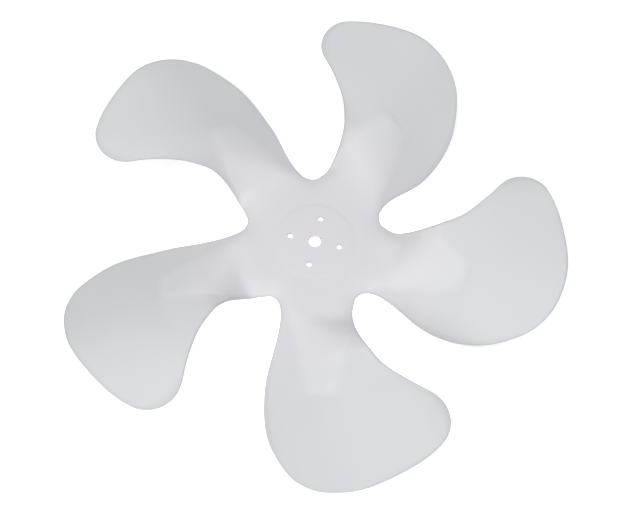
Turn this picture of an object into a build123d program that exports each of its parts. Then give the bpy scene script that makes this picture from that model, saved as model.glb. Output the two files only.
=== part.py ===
from build123d import *

import os
from math import atan2, cos, degrees, hypot, pi, radians, sin, sqrt, tan

# One-piece moulded fan impeller, millimetres and degrees.
# The shaft axis is Z, the origin is the centre of the shaft hole on the front of the hub sheet.
BLADE_COUNT = 5
TIP_RADIUS = 200.0
WALL = 2.2

# Hub: a sheet with a round pad, proud on both faces, that takes the shaft hole and the screw holes.
NOTCH_RADIUS = 56.7
HUB_WALL = 3.2
PAD_RADIUS = 32.0
PAD_PROUD = 0.4
BORE_DIAMETER = 10.0
SCREW_CIRCLE = 40.0
SCREW_COUNT = 4
SCREW_HOLE_DIAMETER = 4.5
SCREW_ANGLE = 75.5
NOTCH_HEIGHT = -4.3
HUB_CREST = 0.9
HUB_BLEND_SHARE = 0.117

# Outline of one blade between two notches. Each point is the share of the way out from notch to
# tip, then the share of the sector round from the notch before the blade.
TIP = (1.0, 0.568)
LOW_EDGE = [
    (0.0, 0.0), (0.013, 0.081), (0.047, 0.132), (0.096, 0.167), (0.163, 0.188),
    (0.330, 0.206), (0.425, 0.221), (0.563, 0.256), (0.696, 0.300), (0.815, 0.357),
    (0.918, 0.422), (0.982, 0.500), TIP,
]
HIGH_EDGE = [
    (0.0, 1.0), (0.025, 0.917), (0.068, 0.854), (0.140, 0.804), (0.221, 0.783),
    (0.305, 0.792), (0.440, 0.835), (0.591, 0.907), (0.702, 0.954), (0.783, 0.960),
    (0.864, 0.938), (0.920, 0.894), (0.954, 0.822), (0.987, 0.690), TIP,
]

# Raised arm: straight sides in plan, from the hub out to a blunt end on the blade. The bends soften
# its two sides, and the feet are where the flanks run on past its end.
ARM_TIP_SHARE = 0.470
ARM_LOW_SIDE = ((0.0, 0.200), (ARM_TIP_SHARE, 0.473))
ARM_HIGH_SIDE = ((0.163, 0.810), (ARM_TIP_SHARE, 0.539))
ARM_END_SHARE = 0.0325
ARM_CROWN = 4.25
ARM_CROWN_RUN = (0.025, 0.434)
LOW_BEND = 3.7
HIGH_BEND = 11.3
LOW_FOOT = 7.4
HIGH_FOOT = 10.0
FLANK_END_SHARE = 0.162
EDGE_LAND = 3.3

# Heights over the inner half of the blade: at the root, at the end of the run, and the run itself.
LOW_EDGE_HEIGHT = (NOTCH_HEIGHT, -22.7, 0.0, 0.378)
HIGH_EDGE_HEIGHT = (NOTCH_HEIGHT, 25.0, 0.040, 0.326)
ARM_LOW_HEIGHT = (-0.1, 10.2, 0.058, 0.831)
ARM_HIGH_HEIGHT = (-2.4, 17.1, 0.053, 0.299)

# Outer half of the blade: it falls away from a crest near the high edge, and lifts at the tip.
BLADE_CREST_HEIGHT = 28.4
BLADE_CREST_SHARE = 0.881
BLADE_CREST_ROUND_SHARE = 0.014
BLADE_FALL = 121.8
BLADE_FALL_POWER = 1.75
TIP_LIFT = 7.5
TIP_LIFT_CENTRE_SHARE = 0.587
TIP_LIFT_SPREAD_SHARE = 0.260
TIP_LIFT_START_SHARE = 0.383

# Sections along a blade: closer together at the notch, at the arm's end and at the tip.
HUB_SECTIONS = 6
HUB_START = 20.0
ROOT_SECTIONS = 14
ARM_END_SECTIONS = 8
TIP_SECTIONS = 15
TIP_CAP_SHARE = 0.025
LOW_PLACES = (0.0, 0.25, 0.5, 0.72, 0.88, 1.0)
ARM_PLACES = (0.1, 0.25, 0.5, 0.75, 0.9)

SECTOR = 360 / BLADE_COUNT
SPAN = TIP_RADIUS - NOTCH_RADIUS
NOTCH_V = NOTCH_RADIUS * cos(radians(SECTOR / 2))


def ease(x, start, end):
    t = min(max((x - start) / (end - start), 0), 1)
    return t * t * (3 - 2 * t)


def plan(out, turn):
    # From shares of span and sector to x across the blade and v along its middle line.
    r = NOTCH_RADIUS + out * SPAN
    angle = radians((turn - 0.5) * SECTOR)
    return r * sin(angle), r * cos(angle)


def shares(x, v):
    out = (hypot(x, v) - NOTCH_RADIUS) / SPAN
    return out, 0.5 + degrees(atan2(x, v)) / SECTOR


TIP_X, TIP_V = plan(*TIP)


def edge_x(points, v):
    # Smooth curve through an edge's points: square to the radius at the notch, closing round the tip.
    knots = []
    for point in points:
        x, along = plan(*point)
        knots.append((sqrt(max(TIP_V - along, 0)), x))
    s = sqrt(max(TIP_V - v, 0))
    i = 0
    while i < len(knots) - 2 and s < knots[i + 1][0]:
        i += 1

    def slope(j):
        if j == 0:
            return 2 * knots[0][0] * knots[0][1] / (NOTCH_V * tan(radians(SECTOR / 2)) ** 2)
        p = knots[j - 1]
        q = knots[min(j + 1, len(knots) - 1)]
        return (q[1] - p[1]) / (q[0] - p[0])

    s0, x0 = knots[i]
    s1, x1 = knots[i + 1]
    h = s1 - s0
    t = (s - s0) / h
    ends = x0 * (1 + 2 * t) * (1 - t) ** 2 + x1 * t * t * (3 - 2 * t)
    return ends + slope(i) * h * t * (1 - t) ** 2 + slope(i + 1) * h * t * t * (t - 1)


def side_x(side, v):
    x0, v0 = plan(*side[0])
    x1, v1 = plan(*side[1])
    return x0 + (x1 - x0) * (v - v0) / (v1 - v0)


def larger(a, b, soft):
    return (a + b + hypot(a - b, soft)) / 2


def stops(v):
    # x of the low edge, the arm's low side, the arm's high side and the high edge in a section.
    if v < NOTCH_V:
        return [x * v / NOTCH_V for x in stops(NOTCH_V)]
    low = edge_x(LOW_EDGE, v)
    high = edge_x(HIGH_EDGE, v)
    arm_v = plan(*ARM_LOW_SIDE[1])[1]
    if v <= arm_v:
        c = larger(side_x(ARM_LOW_SIDE, v), low + EDGE_LAND, EDGE_LAND / 2)
        d = -larger(-side_x(ARM_HIGH_SIDE, v), EDGE_LAND - high, EDGE_LAND)
        return low, c, d, high
    low_0, c_0, d_0, high_0 = stops(arm_v)
    k = (high - low) / (high_0 - low_0)
    return low, low + (c_0 - low_0) * k, low + (d_0 - low_0) * k, high


def run_height(span, x, v):
    out = shares(x, v)[0]
    return span[0] + (span[1] - span[0]) * ease(out, span[2], span[3])


def hub_height(x, v):
    # Nearly flat, with a droop to each notch between the arms.
    turn = shares(x, v)[1]
    near = max(hypot(x, v) - PAD_RADIUS, 0) / (NOTCH_RADIUS - PAD_RADIUS)
    droop = (1 + cos(2 * pi * turn)) / 2
    return HUB_CREST * near ** 2 - (HUB_CREST - NOTCH_HEIGHT) * (near * droop) ** 3


def bent(x, soft):
    # Nothing before the bend, then a straight rise.
    return (x + hypot(x, soft)) / 2


def arm_height(x, v):
    # Three straight runs with soft bends between: low flank, arm, high flank. The arm is domed.
    low, c, d, high = stops(v)
    z_low = run_height(LOW_EDGE_HEIGHT, low, v)
    z_c = run_height(ARM_LOW_HEIGHT, c, v)
    z_d = run_height(ARM_HIGH_HEIGHT, d, v)
    z_high = run_height(HIGH_EDGE_HEIGHT, high, v)
    low_rise = (z_c - z_low) / (c - low)
    arm_rise = (z_d - z_c) / (d - c)
    high_rise = (z_high - z_d) / (high - d)
    runs = low_rise * (x - c) + (arm_rise - low_rise) * bent(x - c, LOW_BEND)
    runs += (high_rise - arm_rise) * bent(x - d, HIGH_BEND)
    t = min(max((x - c) / (d - c), 0), 1)
    crown = ARM_CROWN * (1 - ease(shares(x, v)[0], *ARM_CROWN_RUN))
    return z_c + runs + crown * 4 * t * (1 - t)


def blade_height(x, v):
    out, turn = shares(x, v)
    away = hypot(BLADE_CREST_SHARE - turn, BLADE_CREST_ROUND_SHARE)
    z = BLADE_CREST_HEIGHT - BLADE_FALL * away ** BLADE_FALL_POWER
    off = min(abs(turn - TIP_LIFT_CENTRE_SHARE) / TIP_LIFT_SPREAD_SHARE, 1)
    near_tip = max((out - TIP_LIFT_START_SHARE) / (1 - TIP_LIFT_START_SHARE), 0)
    return z + TIP_LIFT * (1 - off ** 2) ** 2 * near_tip ** 2


def height(x, v):
    # Front surface: hub, then arm and flanks, then the open blade.
    out = shares(x, v)[0]
    if out <= 0:
        return hub_height(x, v)
    low, c, d, high = stops(v)
    on_arm = ease(x, c - LOW_FOOT, c) * (1 - ease(x, d, d + HIGH_FOOT))
    arm_end = ease(out, ARM_TIP_SHARE - ARM_END_SHARE, ARM_TIP_SHARE + ARM_END_SHARE)
    flank_end = ease(out, ARM_TIP_SHARE - FLANK_END_SHARE, ARM_TIP_SHARE + FLANK_END_SHARE)
    open_part = on_arm * arm_end + (1 - on_arm) * flank_end
    z = open_part * blade_height(x, v) + (1 - open_part) * arm_height(x, v)
    hub_part = 1 - ease(out, 0, HUB_BLEND_SHARE)
    return hub_part * hub_height(x, v) + (1 - hub_part) * z


def rim_depth(edge, v, width):
    # How far the rounded rim reaches in from the outline, along the section.
    if v <= NOTCH_V:
        return 0
    lean = (edge_x(edge, v) - edge_x(edge, v - 0.01)) / 0.01
    half = WALL / 2 * ease(v, NOTCH_V, NOTCH_V + 4 * WALL)
    return min(half * sqrt(1 + lean ** 2), 2 * WALL, 0.3 * width)


def section(v):
    # Closed section across the blade: front, rounded rim, back, rounded rim.
    low, c, d, high = stops(v)
    low_rim = rim_depth(LOW_EDGE, v, high - low)
    high_rim = rim_depth(HIGH_EDGE, v, high - low)
    a = low + low_rim
    b = high - high_rim
    places = [a + (c - a) * k for k in LOW_PLACES]
    places += [c + (d - c) * k for k in ARM_PLACES]
    places += [b + (d - b) * k for k in reversed(LOW_PLACES)]
    thin = ease(v, NOTCH_V, NOTCH_V + HUB_BLEND_SHARE * SPAN)
    wall = HUB_WALL + (WALL - HUB_WALL) * thin

    def front(x):
        return Vector(-x, v, height(x, v))

    def back(x):
        tilt = (height(x + 0.02, v) - height(x - 0.02, v)) / 0.04
        drop = 1 + thin * (hypot(1, tilt) - 1)
        return Vector(-x, v, height(x, v) - wall * drop)

    def rim(start, end, depth):
        if depth == 0:
            return Line(start, end)
        return Spline(start, (start + end) / 2 + Vector(depth, 0, 0), end)

    edges = [Spline(*[front(x) for x in places])]
    edges.append(rim(front(b), back(b), -high_rim))
    edges.append(Spline(*[back(x) for x in reversed(places)]))
    edges.append(rim(back(a), front(a), low_rim))
    return Wire(edges)


def hub_faces():
    # Front and back of the hub sheet in one sector; its ends lie on the planes through two notches.
    step = (NOTCH_V - HUB_START) / (HUB_SECTIONS - 1)
    root = Solid.make_loft([section(HUB_START + step * i) for i in range(HUB_SECTIONS)])
    return [face for face in root.faces() if abs(face.normal_at().Z) > 0.5]


def blade_faces():
    before = NOTCH_RADIUS + (ARM_TIP_SHARE - 4 * ARM_END_SHARE) * SPAN
    after = NOTCH_RADIUS + (ARM_TIP_SHARE + 2 * ARM_END_SHARE) * SPAN
    places = [NOTCH_V + (before - NOTCH_V) * (i / ROOT_SECTIONS) ** 1.4 for i in range(ROOT_SECTIONS)]
    places += [before + (after - before) * i / ARM_END_SECTIONS for i in range(ARM_END_SECTIONS)]
    first = sqrt(TIP_V - after)
    step = first * (1 - TIP_CAP_SHARE) / TIP_SECTIONS
    places += [TIP_V - (first - step * i) ** 2 for i in range(TIP_SECTIONS + 1)]
    blade = Solid.make_loft([section(v) for v in places])
    return blade.faces().sort_by(Axis.Y)[1:]


def sheet():
    # All sectors round the hub, closed in the middle by two flat faces.
    sector = hub_faces() + blade_faces()
    faces = []
    for i in range(BLADE_COUNT):
        faces += [face.rotate(Axis.Z, SECTOR * (i + 0.5)) for face in sector]
    corner = HUB_START / cos(radians(SECTOR / 2))
    for z in (0, -HUB_WALL):
        corners = [Vector(0, corner, z).rotate(Axis.Z, SECTOR * i) for i in range(BLADE_COUNT)]
        faces.append(Face(Wire.make_polygon(corners)))
    return Solid(Shell(faces))


def pad():
    plane = Plane((0, 0, -HUB_WALL - PAD_PROUD))
    return Solid.make_cylinder(PAD_RADIUS, HUB_WALL + 2 * PAD_PROUD, plane)


def holes():
    depth = 4 * HUB_WALL
    cutters = [Solid.make_cylinder(BORE_DIAMETER / 2, depth, Plane((0, 0, -depth / 2)))]
    for i in range(SCREW_COUNT):
        angle = radians(SCREW_ANGLE + 360 / SCREW_COUNT * i)
        place = Plane((SCREW_CIRCLE / 2 * cos(angle), SCREW_CIRCLE / 2 * sin(angle), -depth / 2))
        cutters.append(Solid.make_cylinder(SCREW_HOLE_DIAMETER / 2, depth, place))
    return cutters


fan_blade = sheet().fuse(pad()).cut(*holes())

os.makedirs("parts", exist_ok=True)
export_step(fan_blade, "parts/fan_blade.step")
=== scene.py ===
from math import atan2, cos, degrees, hypot, pi, radians, sin, sqrt, tan

import bmesh
import bpy
from mathutils import Matrix, Vector


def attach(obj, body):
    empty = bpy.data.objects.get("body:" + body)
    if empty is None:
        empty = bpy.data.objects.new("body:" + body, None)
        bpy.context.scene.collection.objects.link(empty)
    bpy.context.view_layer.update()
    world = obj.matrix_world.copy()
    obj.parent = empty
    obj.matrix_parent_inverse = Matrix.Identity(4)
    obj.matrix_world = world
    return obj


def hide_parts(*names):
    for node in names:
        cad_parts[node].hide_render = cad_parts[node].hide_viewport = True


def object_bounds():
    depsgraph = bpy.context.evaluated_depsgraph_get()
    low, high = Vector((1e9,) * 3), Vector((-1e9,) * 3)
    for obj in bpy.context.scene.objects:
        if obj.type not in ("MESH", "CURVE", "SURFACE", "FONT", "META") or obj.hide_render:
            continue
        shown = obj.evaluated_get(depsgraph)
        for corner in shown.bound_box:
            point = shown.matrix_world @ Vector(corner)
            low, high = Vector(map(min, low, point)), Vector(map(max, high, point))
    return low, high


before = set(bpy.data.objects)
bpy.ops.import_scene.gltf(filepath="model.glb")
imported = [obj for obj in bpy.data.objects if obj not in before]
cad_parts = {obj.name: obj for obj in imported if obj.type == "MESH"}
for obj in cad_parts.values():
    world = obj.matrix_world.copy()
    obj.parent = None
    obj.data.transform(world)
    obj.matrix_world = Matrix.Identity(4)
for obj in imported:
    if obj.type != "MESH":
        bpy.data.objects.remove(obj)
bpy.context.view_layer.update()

# Fan blade: one injection moulding of milky plastic, with hub, arms and blades in one sheet.
# The sheet is thickest at the hub, each arm is a fold raised out of it, and the rim is rounded
# all the way round. The hub is screwed to the motor.
BLADE_COUNT = 5
SECTOR = 360 / BLADE_COUNT
TIP_RADIUS = 0.200
NOTCH_RADIUS = 0.0567
SPAN = TIP_RADIUS - NOTCH_RADIUS
NOTCH_V = NOTCH_RADIUS * cos(radians(SECTOR / 2))
WALL = 0.0022
HUB_WALL = 0.0032
PAD_RADIUS = 0.032
NOTCH_HEIGHT = -0.0043
HUB_CREST = 0.0009
HUB_BLEND_SHARE = 0.117

# Edges and arm sides are places given as two shares: out from the notch circle to the tip circle,
# and round the sector from one notch to the next. The low edge falls, the high edge is hooked.
TIP = (1.0, 0.568)
LOW_EDGE = [
    (0.0, 0.0), (0.013, 0.081), (0.047, 0.132), (0.096, 0.167), (0.163, 0.188),
    (0.330, 0.206), (0.425, 0.221), (0.563, 0.256), (0.696, 0.300), (0.815, 0.357),
    (0.918, 0.422), (0.982, 0.500), TIP,
]
HIGH_EDGE = [
    (0.0, 1.0), (0.025, 0.917), (0.068, 0.854), (0.140, 0.804), (0.221, 0.783),
    (0.305, 0.792), (0.440, 0.835), (0.591, 0.907), (0.702, 0.954), (0.783, 0.960),
    (0.864, 0.938), (0.920, 0.894), (0.954, 0.822), (0.987, 0.690), TIP,
]
ARM_TIP_SHARE = 0.470
ARM_LOW_SIDE = ((0.0, 0.200), (ARM_TIP_SHARE, 0.473))
ARM_HIGH_SIDE = ((0.163, 0.810), (ARM_TIP_SHARE, 0.539))
ARM_END_SHARE = 0.0325
ARM_CROWN = 0.00425
ARM_CROWN_RUN = (0.025, 0.434)
LOW_BEND = 0.0018
HIGH_BEND = 0.0113
LOW_FOOT = 0.0074
HIGH_FOOT = 0.0100
FLANK_END_SHARE = 0.162
EDGE_LAND = 0.0033

# Heights along a line: at its start, at its end, and the two shares out between which they change.
LOW_EDGE_HEIGHT = (NOTCH_HEIGHT, -0.0227, 0.0, 0.378)
HIGH_EDGE_HEIGHT = (NOTCH_HEIGHT, 0.0250, 0.040, 0.326)
ARM_LOW_HEIGHT = (-0.0001, 0.0102, 0.058, 0.831)
ARM_HIGH_HEIGHT = (-0.0024, 0.0171, 0.053, 0.299)
BLADE_CREST_HEIGHT = 0.0284
BLADE_CREST_SHARE = 0.881
BLADE_CREST_ROUND_SHARE = 0.014
BLADE_FALL = 0.1218
BLADE_FALL_POWER = 1.75
TIP_LIFT = 0.0075
TIP_LIFT_CENTRE_SHARE = 0.587
TIP_LIFT_SPREAD_SHARE = 0.260
TIP_LIFT_START_SHARE = 0.383


def ease(x, start, end):
    t = min(max((x - start) / (end - start), 0), 1)
    return t * t * (3 - 2 * t)


def plan(out, turn):
    # Shares to lengths: x across the blade, v along its middle line.
    r = NOTCH_RADIUS + out * SPAN
    angle = radians((turn - 0.5) * SECTOR)
    return r * sin(angle), r * cos(angle)


def shares(x, v):
    return (hypot(x, v) - NOTCH_RADIUS) / SPAN, 0.5 + degrees(atan2(x, v)) / SECTOR


TIP_V = plan(*TIP)[1]


def knots(edge):
    places = [plan(*share) for share in edge]
    return [(sqrt(max(TIP_V - v, 0)), x) for x, v in places]


LOW_KNOTS = knots(LOW_EDGE)
HIGH_KNOTS = knots(HIGH_EDGE)


def edge_x(edge, v):
    # A smooth line through an edge's knots. It meets the next blade's line without a corner.
    s = sqrt(max(TIP_V - v, 0))
    i = 0
    while i < len(edge) - 2 and s < edge[i + 1][0]:
        i += 1

    def slope(j):
        if j == 0:
            return 2 * edge[0][0] * edge[0][1] / (NOTCH_V * tan(radians(SECTOR / 2)) ** 2)
        before = edge[j - 1]
        after = edge[min(j + 1, len(edge) - 1)]
        return (after[1] - before[1]) / (after[0] - before[0])

    s0, x0 = edge[i]
    s1, x1 = edge[i + 1]
    h = s1 - s0
    t = (s - s0) / h
    ends = x0 * (1 + 2 * t) * (1 - t) ** 2 + x1 * t * t * (3 - 2 * t)
    return ends + slope(i) * h * t * (1 - t) ** 2 + slope(i + 1) * h * t * t * (t - 1)


def side_x(side, v):
    x0, v0 = plan(*side[0])
    x1, v1 = plan(*side[1])
    return x0 + (x1 - x0) * (v - v0) / (v1 - v0)


def larger(a, b, soft):
    return (a + b + hypot(a - b, soft)) / 2


ARM_V = plan(*ARM_LOW_SIDE[1])[1]


def stops(v):
    # Across one line of the blade: falling edge, both sides of the arm, hooked edge.
    low, high = edge_x(LOW_KNOTS, v), edge_x(HIGH_KNOTS, v)
    if v <= ARM_V:
        c = larger(side_x(ARM_LOW_SIDE, v), low + EDGE_LAND, EDGE_LAND / 2)
        d = -larger(-side_x(ARM_HIGH_SIDE, v), EDGE_LAND - high, EDGE_LAND)
        return low, c, d, high
    low_0, c_0, d_0, high_0 = stops(ARM_V)
    k = (high - low) / (high_0 - low_0)
    return low, low + (c_0 - low_0) * k, low + (d_0 - low_0) * k, high


def run_height(run, x, v):
    return run[0] + (run[1] - run[0]) * ease(shares(x, v)[0], run[2], run[3])


def hub_height(x, v):
    turn = shares(x, v)[1]
    near = max(hypot(x, v) - PAD_RADIUS, 0) / (NOTCH_RADIUS - PAD_RADIUS)
    droop = (1 + cos(2 * pi * turn)) / 2
    return HUB_CREST * near ** 2 - (HUB_CREST - NOTCH_HEIGHT) * (near * droop) ** 3


def bent(x, soft):
    return (x + hypot(x, soft)) / 2


def arm_height(x, v):
    # Flank, arm and flank as three straight runs with soft bends, and a crown on the arm.
    low, c, d, high = stops(v)
    z_low = run_height(LOW_EDGE_HEIGHT, low, v)
    z_c = run_height(ARM_LOW_HEIGHT, c, v)
    z_d = run_height(ARM_HIGH_HEIGHT, d, v)
    z_high = run_height(HIGH_EDGE_HEIGHT, high, v)
    low_rise = (z_c - z_low) / (c - low)
    arm_rise = (z_d - z_c) / (d - c)
    high_rise = (z_high - z_d) / (high - d)
    runs = low_rise * (x - c) + (arm_rise - low_rise) * bent(x - c, LOW_BEND)
    runs += (high_rise - arm_rise) * bent(x - d, HIGH_BEND)
    t = min(max((x - c) / (d - c), 0), 1)
    crown = ARM_CROWN * (1 - ease(shares(x, v)[0], *ARM_CROWN_RUN))
    return z_c + runs + crown * 4 * t * (1 - t)


def blade_height(x, v):
    # The open blade falls away from a crest near the hooked edge, and lifts at the tip.
    out, turn = shares(x, v)
    away = hypot(BLADE_CREST_SHARE - turn, BLADE_CREST_ROUND_SHARE)
    z = BLADE_CREST_HEIGHT - BLADE_FALL * away ** BLADE_FALL_POWER
    off = min(abs(turn - TIP_LIFT_CENTRE_SHARE) / TIP_LIFT_SPREAD_SHARE, 1)
    near_tip = max((out - TIP_LIFT_START_SHARE) / (1 - TIP_LIFT_START_SHARE), 0)
    return z + TIP_LIFT * (1 - off ** 2) ** 2 * near_tip ** 2


def arm_part(x, v):
    # How far a place lies on the arm's width, and how far it is past the arm's end.
    out = shares(x, v)[0]
    low, c, d, high = stops(max(v, NOTCH_V))
    on_arm = ease(x, c - LOW_FOOT, c) * (1 - ease(x, d, d + HIGH_FOOT))
    return on_arm, ease(out, ARM_TIP_SHARE - ARM_END_SHARE, ARM_TIP_SHARE + ARM_END_SHARE)


def height(x, v):
    # Height of the front of the sheet.
    out = shares(x, v)[0]
    if out <= 0:
        return hub_height(x, v)
    on_arm, arm_end = arm_part(x, v)
    flank_end = ease(out, ARM_TIP_SHARE - FLANK_END_SHARE, ARM_TIP_SHARE + FLANK_END_SHARE)
    open_part = on_arm * arm_end + (1 - on_arm) * flank_end
    z = blade_height(x, v)
    if open_part < 1:
        z = open_part * z + (1 - open_part) * arm_height(x, max(v, NOTCH_V))
    hub_part = 1 - ease(out, 0, HUB_BLEND_SHARE)
    return hub_part * hub_height(x, v) + (1 - hub_part) * z


# Grid of one sector: columns run from rim to rim, rows from the pad out to the tip. They lie
# closer together at the rim and at the arm's folds. The tips stop just short of the tip circle.
RIM_ROUND = 0.0011
RIM_STEPS = (0.0, 0.07, 0.27, 0.6, 1.0)
TIP_SIDE_RIM = 1.1 * RIM_ROUND
TIP_END_RIM = 1.6 * RIM_ROUND
TIP_SHORT = 0.0003
CROWDING = 1.4
FLANK_COLUMNS = 13
ARM_COLUMNS = 14
HUB_FLAT_ROWS = 8
ROOT_ROWS = 34
ARM_END_ROWS = 14
TIP_ROWS = 30
BEFORE_ARM_END = NOTCH_RADIUS + (ARM_TIP_SHARE - 4 * ARM_END_SHARE) * SPAN
AFTER_ARM_END = NOTCH_RADIUS + (ARM_TIP_SHARE + 2 * ARM_END_SHARE) * SPAN
LOW_CORNER_V = plan(*LOW_EDGE[-3])[1]
HIGH_CORNER_V = plan(*HIGH_EDGE[-4])[1]
EDGE_STEP = 0.0001
SLOPE_STEP = 0.00005


def columns(low, a, c, d, b, high):
    # From rim to rim, with a and b where the rounding of the rim ends.
    places = [low + (a - low) * k for k in RIM_STEPS]
    flank = [((i + 1) / FLANK_COLUMNS) ** CROWDING for i in range(FLANK_COLUMNS)]
    places += [c + (a - c) * k for k in reversed(flank[:-1])] + [c]
    places += [c + (d - c) * ease(i + 1, 0, ARM_COLUMNS) for i in range(ARM_COLUMNS)]
    places += [d + (b - d) * k for k in flank]
    return places + [high + (b - high) * k for k in reversed(RIM_STEPS[:-1])]


def straight_row(v):
    low, c, d, high = stops(v)
    low_lean = (edge_x(LOW_KNOTS, v + EDGE_STEP) - low) / EDGE_STEP
    high_lean = (edge_x(HIGH_KNOTS, v + EDGE_STEP) - high) / EDGE_STEP
    a = low + RIM_ROUND * hypot(1, low_lean)
    b = high - RIM_ROUND * hypot(1, high_lean)
    return [(x, v) for x in columns(low, a, c, d, b, high)]


def hub_row(k):
    row = []
    for x, v in straight_row(NOTCH_V):
        r = hypot(x, v)
        scale = (PAD_RADIUS + (r - PAD_RADIUS) * k) / r
        row.append((x * scale, v * scale))
    return row


def tip_arc(share):
    s_low = sqrt(TIP_V - LOW_CORNER_V)
    s_high = sqrt(TIP_V - HIGH_CORNER_V)
    s = -s_low + (s_low + s_high) * share
    v = TIP_V - s * s
    return edge_x(LOW_KNOTS if s < 0 else HIGH_KNOTS, v), v


def tip_row(k):
    # From a straight row past the arm to the round end, with columns that even out on the way.
    low, c, d, high = stops(AFTER_ARM_END)
    v_low = AFTER_ARM_END + (LOW_CORNER_V - AFTER_ARM_END) * k
    v_high = AFTER_ARM_END + (HIGH_CORNER_V - AFTER_ARM_END) * k
    start = (edge_x(LOW_KNOTS, v_low), v_low)
    end = (edge_x(HIGH_KNOTS, v_high), v_high)
    rim = TIP_SIDE_RIM / hypot(end[0] - start[0], end[1] - start[1])
    width = high - low
    places = columns(0, rim, (c - low) / width, (d - low) / width, 1 - rim, 1)
    first_inner = len(RIM_STEPS) - 1
    steps = len(places) - 1 - 2 * first_inner
    for n in range(steps + 1):
        even = rim + (1 - 2 * rim) * n / steps
        places[first_inner + n] += (even - places[first_inner + n]) * k
    first, last = tip_arc(0), tip_arc(1)
    row = []
    for share in places:
        arc = tip_arc(share)
        place = []
        for n in (0, 1):
            chord = first[n] + (last[n] - first[n]) * share
            place.append(start[n] + (end[n] - start[n]) * share + (arc[n] - chord) * k * k)
        row.append(tuple(place))
    return row


root_length = BEFORE_ARM_END - NOTCH_V
arm_end_length = AFTER_ARM_END - BEFORE_ARM_END
tip_length = TIP_V - AFTER_ARM_END
tip_end = 1 - TIP_SHORT / tip_length
tip_rim = tip_end - TIP_END_RIM / tip_length
hub_places = [j / HUB_FLAT_ROWS for j in range(HUB_FLAT_ROWS)]
hub_places += [1 - RIM_ROUND * k / (NOTCH_RADIUS - PAD_RADIUS) for k in reversed(RIM_STEPS[1:])]
rows = [hub_row(k) for k in hub_places]
for j in range(ROOT_ROWS):
    rows.append(straight_row(NOTCH_V + root_length * (j / ROOT_ROWS) ** CROWDING))
for j in range(ARM_END_ROWS):
    rows.append(straight_row(BEFORE_ARM_END + arm_end_length * j / ARM_END_ROWS))
rows += [tip_row(tip_rim * j / TIP_ROWS) for j in range(TIP_ROWS)]
rows += [tip_row(tip_end - (tip_end - tip_rim) * k) for k in reversed(RIM_STEPS)]


def quarter_round(k):
    return sqrt(1 - (1 - k) ** 2)


column_round = [1.0] * len(rows[0])
row_round = [1.0] * len(rows)
for n, k in enumerate(RIM_STEPS):
    column_round[n] = column_round[-1 - n] = row_round[-1 - n] = quarter_round(k)


def fullness(i, j):
    # Share of the wall that is left at a grid place: one inside, nothing at the rim.
    if j >= len(hub_places):
        return min(column_round[i], row_round[j])
    return quarter_round(min(max((NOTCH_RADIUS - hypot(*rows[j][i])) / RIM_ROUND, 0), 1))


def sheet_points(i, j):
    # Front and back of the sheet at one grid place.
    x, v = rows[j][i]
    full = fullness(i, j)
    dx = (height(x + SLOPE_STEP, v) - height(x - SLOPE_STEP, v)) / (2 * SLOPE_STEP)
    dv = (height(x, v) - height(x, v - SLOPE_STEP)) / SLOPE_STEP
    n = 1 / sqrt(1 + dx * dx + dv * dv)
    thin = ease(v, NOTCH_V, NOTCH_V + HUB_BLEND_SHARE * SPAN)
    wall = HUB_WALL + (WALL - HUB_WALL) * thin
    z = height(x, v)
    points = []
    for side in (1, -1):
        depth = wall / 2 * (1 - side * full)
        points.append((-(x + dx * n * depth), v + dv * n * depth, z - n * depth))
    return points


outline = [row[n] for row in rows[len(hub_places):] for n in (0, -1)] + rows[-1]


def rim_distance(x, v):
    return min(hypot(x - p, v - q) for p, q in outline)


# One sector is laid out front and back, turned round into all five, and closed at the rims.
# Each place keeps how much it belongs to the arm, for the plastic's colour, and how near it lies
# to the rim, for a painted shade along the rim.
ARM_WHITE_RUN = (-0.12, 0.14)
RIM_SHADE_BAND = 0.0032
MERGE_DISTANCE = 0.00001
bm = bmesh.new()
arm_layer = bm.verts.layers.float.new("arm")
rim_shade_layer = bm.verts.layers.float.new("rim")
across, along = len(rows[0]) - 1, len(rows) - 1
front = bmesh.ops.create_grid(bm, x_segments=across, y_segments=along, size=0.5)["verts"]
back_of = bmesh.ops.duplicate(bm, geom=bm.faces[:])["vert_map"]
grid = {}
for vert in front:
    i = round((vert.co.x + 0.5) * across)
    j = round((vert.co.y + 0.5) * along)
    grid[i, j] = vert
    vert.co, back_of[vert].co = sheet_points(i, j)
    x, v = rows[j][i]
    on_arm, arm_end = arm_part(x, v)
    for side in (vert, back_of[vert]):
        side[arm_layer] = on_arm * (1 - arm_end) * ease(shares(x, v)[0], *ARM_WHITE_RUN)
        # Painted shade: a band along the rim that later darkens the base colour, standing in for
        # the rounded edge's shading.
        side[rim_shade_layer] = max(1 - rim_distance(x, v) / RIM_SHADE_BAND, 0) ** 2

# The corner faces at the tip are split inwards, or a triangle could lie flat on the rim.
for column, inwards in ((0, 1), (across, -1)):
    corner, inner = grid[column, along], grid[column + inwards, along - 1]
    bmesh.ops.connect_verts(bm, verts=[corner, inner])
    bmesh.ops.connect_verts(bm, verts=[back_of[corner], back_of[inner]])
half_sector = Matrix.Rotation(radians(SECTOR / 2), 3, "Z")
bmesh.ops.rotate(bm, verts=bm.verts[:], cent=(0, 0, 0), matrix=half_sector)
bmesh.ops.spin(bm, geom=bm.faces[:], cent=(0, 0, 0), axis=(0, 0, 1), use_duplicate=True,
               angle=radians(SECTOR * (BLADE_COUNT - 1)), steps=BLADE_COUNT - 1)
bmesh.ops.remove_doubles(bm, verts=bm.verts[:], dist=MERGE_DISTANCE)

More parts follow.
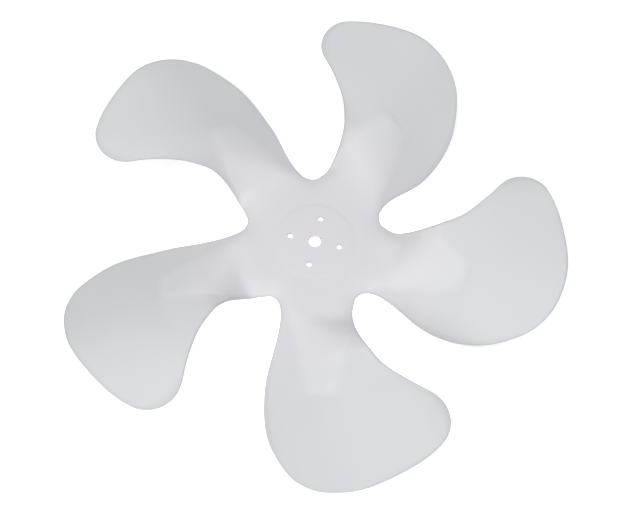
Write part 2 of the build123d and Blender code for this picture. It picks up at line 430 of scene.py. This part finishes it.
# Hub pad: a flat disc a little proud of both faces of the sheet and moulded with it. The motor's
# shaft goes through its middle hole, and four screws through the ring of small holes hold it.
PAD_PROUD = 0.0004
PAD_EDGE = ((0.0006, 0.00012), (0.0014, 0.00031), (0.0022, PAD_PROUD))
HOLE_EDGE = 0.0002
BORE_RADIUS = 0.005
BORE_SEGMENTS = 48
SCREW_RADIUS = 0.00225
SCREW_SEGMENTS = 32
SCREW_RING = 0.020
SCREW_COUNT = 4
SCREW_ANGLE = 75.5
SAME_LEVEL = 0.0005
SHARP_ANGLE = 32
holes = [(0.0, 0.0, BORE_RADIUS, BORE_SEGMENTS)]
for i in range(SCREW_COUNT):
    angle = radians(SCREW_ANGLE + 360 / SCREW_COUNT * i)
    holes.append((SCREW_RING * cos(angle), SCREW_RING * sin(angle), SCREW_RADIUS, SCREW_SEGMENTS))


def raise_ring(edges, radius, z):
    made = bmesh.ops.extrude_edge_only(bm, edges=edges)["geom"]
    for vert in (g for g in made if isinstance(g, bmesh.types.BMVert)):
        k = radius / hypot(vert.co.x, vert.co.y)
        vert.co = (vert.co.x * k, vert.co.y * k, z)
    return [g for g in made if isinstance(g, bmesh.types.BMEdge) and g.is_boundary]


def ring(x, y, radius, z, segments):
    centre = Matrix.Translation((x, y, z))
    verts = bmesh.ops.create_circle(bm, segments=segments, radius=radius, matrix=centre)["verts"]
    return list(dict.fromkeys(edge for vert in verts for edge in vert.link_edges))


pad_loops = [edge for edge in bm.edges if edge.is_boundary]
pad_faces = ((0.0, PAD_PROUD, 1), (-HUB_WALL, -HUB_WALL - PAD_PROUD, -1))
hole_loops = [[] for hole in holes]
for sheet_z, pad_z, side in pad_faces:
    loop = [edge for edge in pad_loops if abs(edge.verts[0].co.z - sheet_z) < SAME_LEVEL]
    for inset, rise in PAD_EDGE:
        loop = raise_ring(loop, PAD_RADIUS - inset, sheet_z + side * rise)
    for n, (x, y, radius, segments) in enumerate(holes):
        mouth = ring(x, y, radius + HOLE_EDGE, pad_z, segments)
        throat = ring(x, y, radius, pad_z - side * HOLE_EDGE, segments)
        loop += mouth
        hole_loops[n].append((mouth, throat))
    bmesh.ops.triangle_fill(bm, use_beauty=True, use_dissolve=False, edges=loop,
                            normal=(0, 0, side))
for (front_mouth, front_throat), (back_mouth, back_throat) in hole_loops:
    bmesh.ops.bridge_loops(bm, edges=front_mouth + front_throat)
    bmesh.ops.bridge_loops(bm, edges=front_throat + back_throat)
    bmesh.ops.bridge_loops(bm, edges=back_throat + back_mouth)
bmesh.ops.recalc_face_normals(bm, faces=bm.faces[:])

mesh = bpy.data.meshes.new("fan_blade_moulding")
bm.to_mesh(mesh)
bm.free()
mesh.polygons.foreach_set("use_smooth", [True] * len(mesh.polygons))
mesh.set_sharp_from_angle(angle=radians(SHARP_ANGLE))
blade = bpy.data.objects.new("fan_blade_moulding", mesh)
bpy.context.scene.collection.objects.link(blade)
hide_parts("fan_blade")
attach(blade, "root")


class Socket:
    """A shader value that takes part in Python expressions."""

    def __init__(self, tree, socket=None):
        self.tree = tree
        self.socket = socket

    def node(self, kind, output, settings=None, **inputs):
        """Add a node, set it up, and give one of its outputs."""
        made = self.tree.nodes.new(kind)
        for name, value in (settings or {}).items():
            setattr(made, name, value)
        for name, value in inputs.items():
            key = int(name[1:]) if name[1:].isdigit() else name.replace("_", " ")
            if isinstance(value, Socket):
                self.tree.links.new(value.socket, made.inputs[key])
            else:
                made.inputs[key].default_value = value
        return Socket(self.tree, made.outputs[output])

    def feed(self, shader, name):
        self.tree.links.new(self.socket, shader.inputs[name])

    def maths(self, operation, other, reverse=False):
        pair = (other, self) if reverse else (self, other)
        return self.node("ShaderNodeMath", 0, {"operation": operation}, i0=pair[0], i1=pair[1])

    def __add__(self, other):
        return self.maths("ADD", other)

    __radd__ = __add__

    def __sub__(self, other):
        return self.maths("SUBTRACT", other)

    def __rsub__(self, other):
        return self.maths("SUBTRACT", other, True)

    def __mul__(self, other):
        return self.maths("MULTIPLY", other)

    __rmul__ = __mul__


# Milky plastic: slightly cloudy, with a fine grain. It is whiter on the arms, has painted shade
# along the rim that darkens the base colour there, and turns from a lilac white at the hub to a
# cooler one outside.
HUB_WHITE = (0.667, 0.648, 0.693, 1)
OUTER_WHITE = (0.640, 0.661, 0.687, 1)
GREY = (0.383, 0.386, 0.396, 1)
CLOUD_SCALE = 14.0
GRAIN_SCALE = 1400.0
plastic = bpy.data.materials.new("milky_plastic")
plastic.use_nodes = True
plastic_shader = plastic.node_tree.nodes["Principled BSDF"]
nodes = Socket(plastic.node_tree)
place = nodes.node("ShaderNodeTexCoord", "Object")
cloud = nodes.node("ShaderNodeTexNoise", "Fac", Vector=place, Scale=CLOUD_SCALE, Detail=3.0)
grain = nodes.node("ShaderNodeTexNoise", "Fac", Vector=place, Scale=GRAIN_SCALE, Detail=2.0)
arm = nodes.node("ShaderNodeAttribute", "Fac", {"attribute_name": "arm"})
rim = nodes.node("ShaderNodeAttribute", "Fac", {"attribute_name": "rim"})
far = nodes.node("ShaderNodeVectorMath", "Value", {"operation": "LENGTH"}, i0=place)
# Painted shade: the rim term darkens the base colour along the rounded edge, where shading falls.
whiteness_and_rim_shade = 0.66 + 0.10 * cloud + 0.13 * arm - 0.45 * rim - 0.4 * far
hue = nodes.node("ShaderNodeMix", 2, {"data_type": "RGBA"}, i0=5.0 * far, i6=HUB_WHITE,
                 i7=OUTER_WHITE)
tint = nodes.node("ShaderNodeMix", 2, {"data_type": "RGBA"}, i0=whiteness_and_rim_shade, i6=GREY, i7=hue)
tint.feed(plastic_shader, "Base Color")
(0.44 + 0.12 * cloud).feed(plastic_shader, "Roughness")
bump = nodes.node("ShaderNodeBump", "Normal", Strength=0.05, Distance=0.0002, Height=grain)
bump.feed(plastic_shader, "Normal")
plastic_shader.inputs["IOR"].default_value = 1.49
mesh.materials.append(plastic)

# Stage: a sheet of pale paper at the height of the blade's lowest points. It glows a little, most
# of all under the hub, so that it fades into the background and the holes show white.
FLOOR_HALF = 6.0
PAPER = (0.97, 0.97, 0.97, 1)
GLOW_RUN = (0.06, 0.15)
GLOW_UNDER_HUB = 0.80
GLOW_OUTSIDE = 0.13
floor_place = Matrix.Translation((0, 0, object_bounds()[0][2]))
floor_mesh = bpy.data.meshes.new("floor")
floor_bm = bmesh.new()
bmesh.ops.create_grid(floor_bm, x_segments=1, y_segments=1, size=FLOOR_HALF, matrix=floor_place)
floor_bm.to_mesh(floor_mesh)
floor_bm.free()
floor = bpy.data.objects.new("floor", floor_mesh)
bpy.context.scene.collection.objects.link(floor)
paper = bpy.data.materials.new("pale_floor")
paper.use_nodes = True
paper_shader = paper.node_tree.nodes["Principled BSDF"]
nodes = Socket(paper.node_tree)
place = nodes.node("ShaderNodeTexCoord", "Object")
away = nodes.node("ShaderNodeVectorMath", "Value", {"operation": "LENGTH"}, i0=place)
glow = nodes.node("ShaderNodeMapRange", "Result", {"interpolation_type": "SMOOTHSTEP"},
                  Value=away, From_Min=GLOW_RUN[0], From_Max=GLOW_RUN[1],
                  To_Min=GLOW_UNDER_HUB, To_Max=GLOW_OUTSIDE)
glow.feed(paper_shader, "Emission Color")
paper_shader.inputs["Emission Strength"].default_value = 1.0
paper_shader.inputs["Base Color"].default_value = PAPER
paper_shader.inputs["Roughness"].default_value = 0.9
floor_mesh.materials.append(paper)

# Light: a white room, brightest overhead and dim at the horizon, and one wide soft lamp that
# stands at the near left and looks at the hub.
SKY_EVEN = 0.104
SKY_LEAN = (0.060, 0.070, 1.278)
SKY_LEAST = 0.25
LAMP_PLACE = (-0.4, -0.8, 0.8)
world = bpy.data.worlds.new("room")
bpy.context.scene.world = world
world.use_nodes = True
sky = world.node_tree.nodes["Background"]
nodes = Socket(world.node_tree)
upward = nodes.node("ShaderNodeTexCoord", "Generated")
lean = nodes.node("ShaderNodeVectorMath", "Value", {"operation": "DOT_PRODUCT"}, i0=upward,
                  i1=SKY_LEAN)
(lean + SKY_EVEN).maths("MAXIMUM", SKY_LEAST).feed(sky, "Strength")
sky.inputs["Color"].default_value = (1, 1, 1, 1)
lamp_data = bpy.data.lights.new("soft_lamp", "AREA")
lamp_data.shape = "DISK"
lamp_data.size = 0.8
lamp_data.energy = 5.4
lamp = bpy.data.objects.new("soft_lamp", lamp_data)
lamp.location = LAMP_PLACE
lamp.rotation_euler = Vector(LAMP_PLACE).to_track_quat("Z", "Y").to_euler()
bpy.context.scene.collection.objects.link(lamp)
bpy.context.scene.view_settings.view_transform = "Standard"

# Camera: above the near edge and tilted as in the photograph. The shift is what the photograph's
# framing needs, because its line of sight doesn't go through the middle of the picture.
camera_data = bpy.data.cameras.new("camera")
camera_data.sensor_width = 36.0
camera_data.lens = 57.54
camera_data.shift_x = -0.1285
camera_data.shift_y = -0.0363
camera = bpy.data.objects.new("camera", camera_data)
camera.location = (-0.03281, -0.29579, 0.75174)
camera.rotation_euler = [radians(angle) for angle in (22.036, -6.334, -3.058)]
bpy.context.scene.collection.objects.link(camera)
bpy.context.scene.camera = camera
